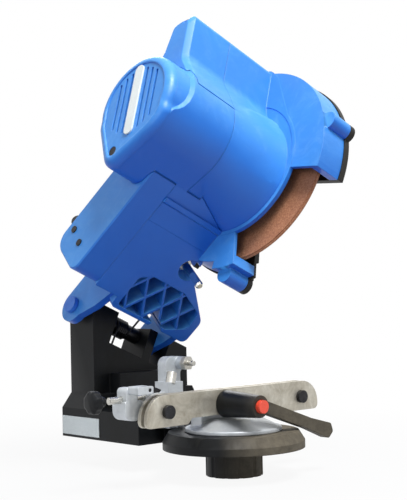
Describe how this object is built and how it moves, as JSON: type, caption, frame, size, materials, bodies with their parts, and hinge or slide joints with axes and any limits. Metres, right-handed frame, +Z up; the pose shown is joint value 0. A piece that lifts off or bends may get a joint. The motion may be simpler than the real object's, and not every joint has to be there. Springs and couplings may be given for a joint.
{
  "type": "electric chainsaw sharpener",
  "caption": "Bench grinder for saw chains: motor head with guarded grinding disc on a sprung tilting hinge, swivelling rail vise with lever, depth stop and chain stop.",
  "frame": {"origin": "centre of the four bench holes, on the face bolted to the bench", "axes": "+X along the vise rails towards the disc side, +Y away from the operator, +Z up"},
  "size_m": [0.2299, 0.204, 0.3326],
  "materials": {
    "blue_plastic": "semi-gloss, worn",
    "black_plastic": "satin",
    "cover_black": "satin",
    "label_white": "satin",
    "dark_steel": "blackened",
    "hinge_blue": "painted",
    "bright_steel": "zinc plated",
    "chrome": "plated",
    "cast_alloy": "as cast",
    "lamination": "dull",
    "copper": "lacquered",
    "carbon": "dull",
    "rail_steel": "brushed, worn",
    "abrasive": "gritty",
    "switch_red": "gloss",
    "button_red": "gloss",
    "knob_brown": "dusty satin",
    "lever_brown": "dusty satin",
    "inlet_rubber": "dull"
  },
  "bodies": {
    "base": {"base_frame": "black_plastic", "base_label": "label_white", "hinge_bolt": "hinge_blue", "hinge_nut": "bright_steel", "hinge_sleeve": "dark_steel", "return_spring": "dark_steel", "stop_bracket": "cast_alloy", "stop_anvil": "bright_steel", "bracket_pin": "bright_steel", "bracket_screws": "dark_steel", "knob_washer": "bright_steel"},
    "head": {"motor_shell": "blue_plastic", "guard_shell": "blue_plastic", "end_cap": "blue_plastic", "cap_label": "label_white", "cap_screw": "dark_steel", "casing_screws": "dark_steel", "guard_cover": "cover_black", "cover_screws": "dark_steel", "depth_nut": "bright_steel", "rocker_frame": "black_plastic", "cable_inlet": "inlet_rubber", "stator": "lamination", "field_coils": "copper", "rear_bearing": "bright_steel", "front_bearing": "bright_steel", "brush_holders": "black_plastic", "carbon_brushes": "carbon"},
    "spindle": {"motor_shaft": "bright_steel", "rotor_core": "lamination", "commutator": "copper", "fan": "black_plastic", "inner_flange": "bright_steel", "grinding_disc": "abrasive", "outer_flange": "bright_steel", "spindle_nut": "bright_steel"},
    "depth_screw": {"depth_bolt": "chrome"},
    "switch": {"rocker_switch": "switch_red"},
    "vise": {"turntable": "cast_alloy", "rear_rail": "rail_steel", "rail_screws": "dark_steel", "clamp_stud": "bright_steel", "rod_lug": "cast_alloy", "lock_stud": "bright_steel"},
    "jaw": {"front_rail": "rail_steel"},
    "lever": {"clamp_lever": "lever_brown", "button_spring": "bright_steel"},
    "button": {"push_button": "button_red"},
    "lock": {"lock_knob": "knob_brown"},
    "rod": {"stop_rod": "bright_steel", "rod_knob": "black_plastic"},
    "chain_stop": {"chain_stop": "cast_alloy"},
    "pawl": {"stop_pawl": "dark_steel"}
  },
  "joints": [
    {"name": "head_swing", "type": "hinge", "parent": "base", "child": "head", "pos_m": [0.01463, 0.034, 0.07887], "axis": [0.9135, 0, -0.4067], "range_deg": [0, 41], "stiffness_Nm_per_rad": 2, "springref_deg": -74.48, "deforming": ["return_spring"]},
    {"name": "spindle_spin", "type": "hinge", "parent": "head", "child": "spindle", "pos_m": [0.06695, -0.06117, 0.19636], "axis": [0.9135, 0, -0.4067], "continuous": true},
    {"name": "depth_screw_slide", "type": "slide", "parent": "head", "child": "depth_screw", "axis": [-0.2419, -0.8039, -0.5434], "range_m": [-0.008, 0]},
    {"name": "switch_rock", "type": "hinge", "parent": "head", "child": "switch", "pos_m": [0.03307, -0.02088, 0.26042], "axis": [0.327, -0.5948, 0.7344], "range_deg": [0, 12]},
    {"name": "vise_turn", "type": "hinge", "parent": "base", "child": "vise", "pos_m": [0, -0.106, 0.0124], "axis": [0, 0, 1], "range_deg": [-35, 35]},
    {"name": "jaw_slide", "type": "slide", "parent": "vise", "child": "jaw", "axis": [0, 1, 0], "range_m": [0, 0.001]},
    {"name": "lever_turn", "type": "hinge", "parent": "jaw", "child": "lever", "pos_m": [-0.011, -0.1108, 0.032], "axis": [0, -1, 0], "range_deg": [0, 25]},
    {"name": "button_press", "type": "slide", "parent": "lever", "child": "button", "axis": [0, 1, 0], "range_m": [0, 0.002], "stiffness_N_per_m": 400, "springref_m": -0.002, "deforming": ["button_spring"]},
    {"name": "lock_turn", "type": "hinge", "parent": "vise", "child": "lock", "pos_m": [0, -0.106, -0.01], "axis": [0, 0, -1], "range_deg": [0, 360]},
    {"name": "rod_turn", "type": "hinge", "parent": "vise", "child": "rod", "pos_m": [-0.1, -0.094, 0.04], "axis": [1, 0, 0], "range_deg": [-1080, 1080]},
    {"name": "chain_stop_slide", "type": "slide", "parent": "vise", "child": "chain_stop", "axis": [1, 0, 0], "range_m": [-0.0024, 0.0024]},
    {"name": "pawl_lift", "type": "hinge", "parent": "chain_stop", "child": "pawl", "pos_m": [-0.078, -0.106, 0.0464], "axis": [0, -1, 0], "range_deg": [0, 30]}
  ],
  "couplings": [
    {"joint": "lever_turn", "follows": "jaw_slide", "rad_per_m": 436.33},
    {"joint": "rod_turn", "follows": "chain_stop_slide", "rad_per_m": 7854}
  ]
}
